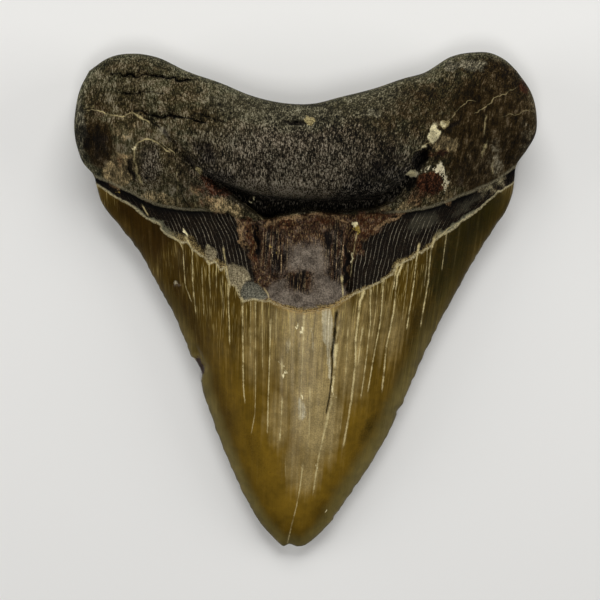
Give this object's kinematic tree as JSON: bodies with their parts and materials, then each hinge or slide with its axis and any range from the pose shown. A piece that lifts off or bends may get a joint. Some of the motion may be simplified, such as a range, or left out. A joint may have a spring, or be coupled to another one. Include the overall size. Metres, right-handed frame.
{
  "type": "megalodon tooth",
  "caption": "Fossil shark tooth: thick two-lobed root, dark bourlette band and a broad triangular blade with worn edges, lying on its flat face.",
  "frame": {"origin": "middle of the tooth's box, on the surface that its flat labial face lies on", "axes": "+X across the tooth, +Y from the tip up to the root, +Z out of the lingual face that shows the bourlette"},
  "size_m": [0.1136, 0.1218, 0.0269],
  "materials": {
    "tooth": "mineralised dentine root, satin enamel blade"
  },
  "bodies": {
    "root": {"tooth": "tooth"}
  },
  "joints": []
}
